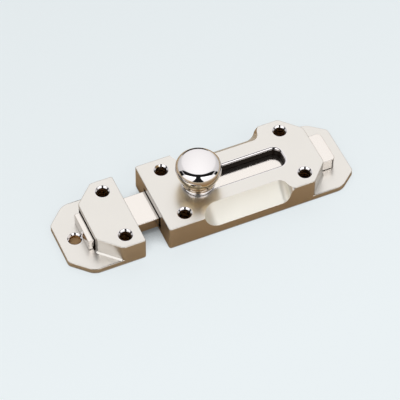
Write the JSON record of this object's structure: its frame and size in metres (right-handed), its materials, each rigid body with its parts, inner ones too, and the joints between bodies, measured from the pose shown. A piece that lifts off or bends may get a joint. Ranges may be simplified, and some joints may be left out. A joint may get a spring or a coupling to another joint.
{
  "type": "surface slide bolt",
  "caption": "Surface-mounted slide bolt: solid metal case with finger scoops, flat bolt drawn by a knob in a slot, and a matching keeper on its own plate.",
  "frame": {"origin": "middle of the case's four screws, on the back face", "axes": "+X along the bolt from its tip to its tail, +Z off the door, towards the knob"},
  "size_m": [0.1318, 0.038, 0.0267],
  "materials": {
    "satin_nickel": "nickel plated brass, satin",
    "polished_nickel": "nickel plated brass, polished",
    "plain_steel": "zinc plated steel",
    "spring_bronze": "phosphor bronze strip"
  },
  "bodies": {
    "case_and_keeper": {"case": "satin_nickel", "keeper": "satin_nickel"},
    "sliding_bolt": {"bolt": "polished_nickel", "knob": "polished_nickel", "knob_stud": "plain_steel", "friction_spring": "spring_bronze"}
  },
  "joints": [
    {"name": "bolt_slide", "type": "slide", "parent": "case_and_keeper", "child": "sliding_bolt", "axis": [1, 0, 0], "range_m": [0, 0.0346]}
  ]
}
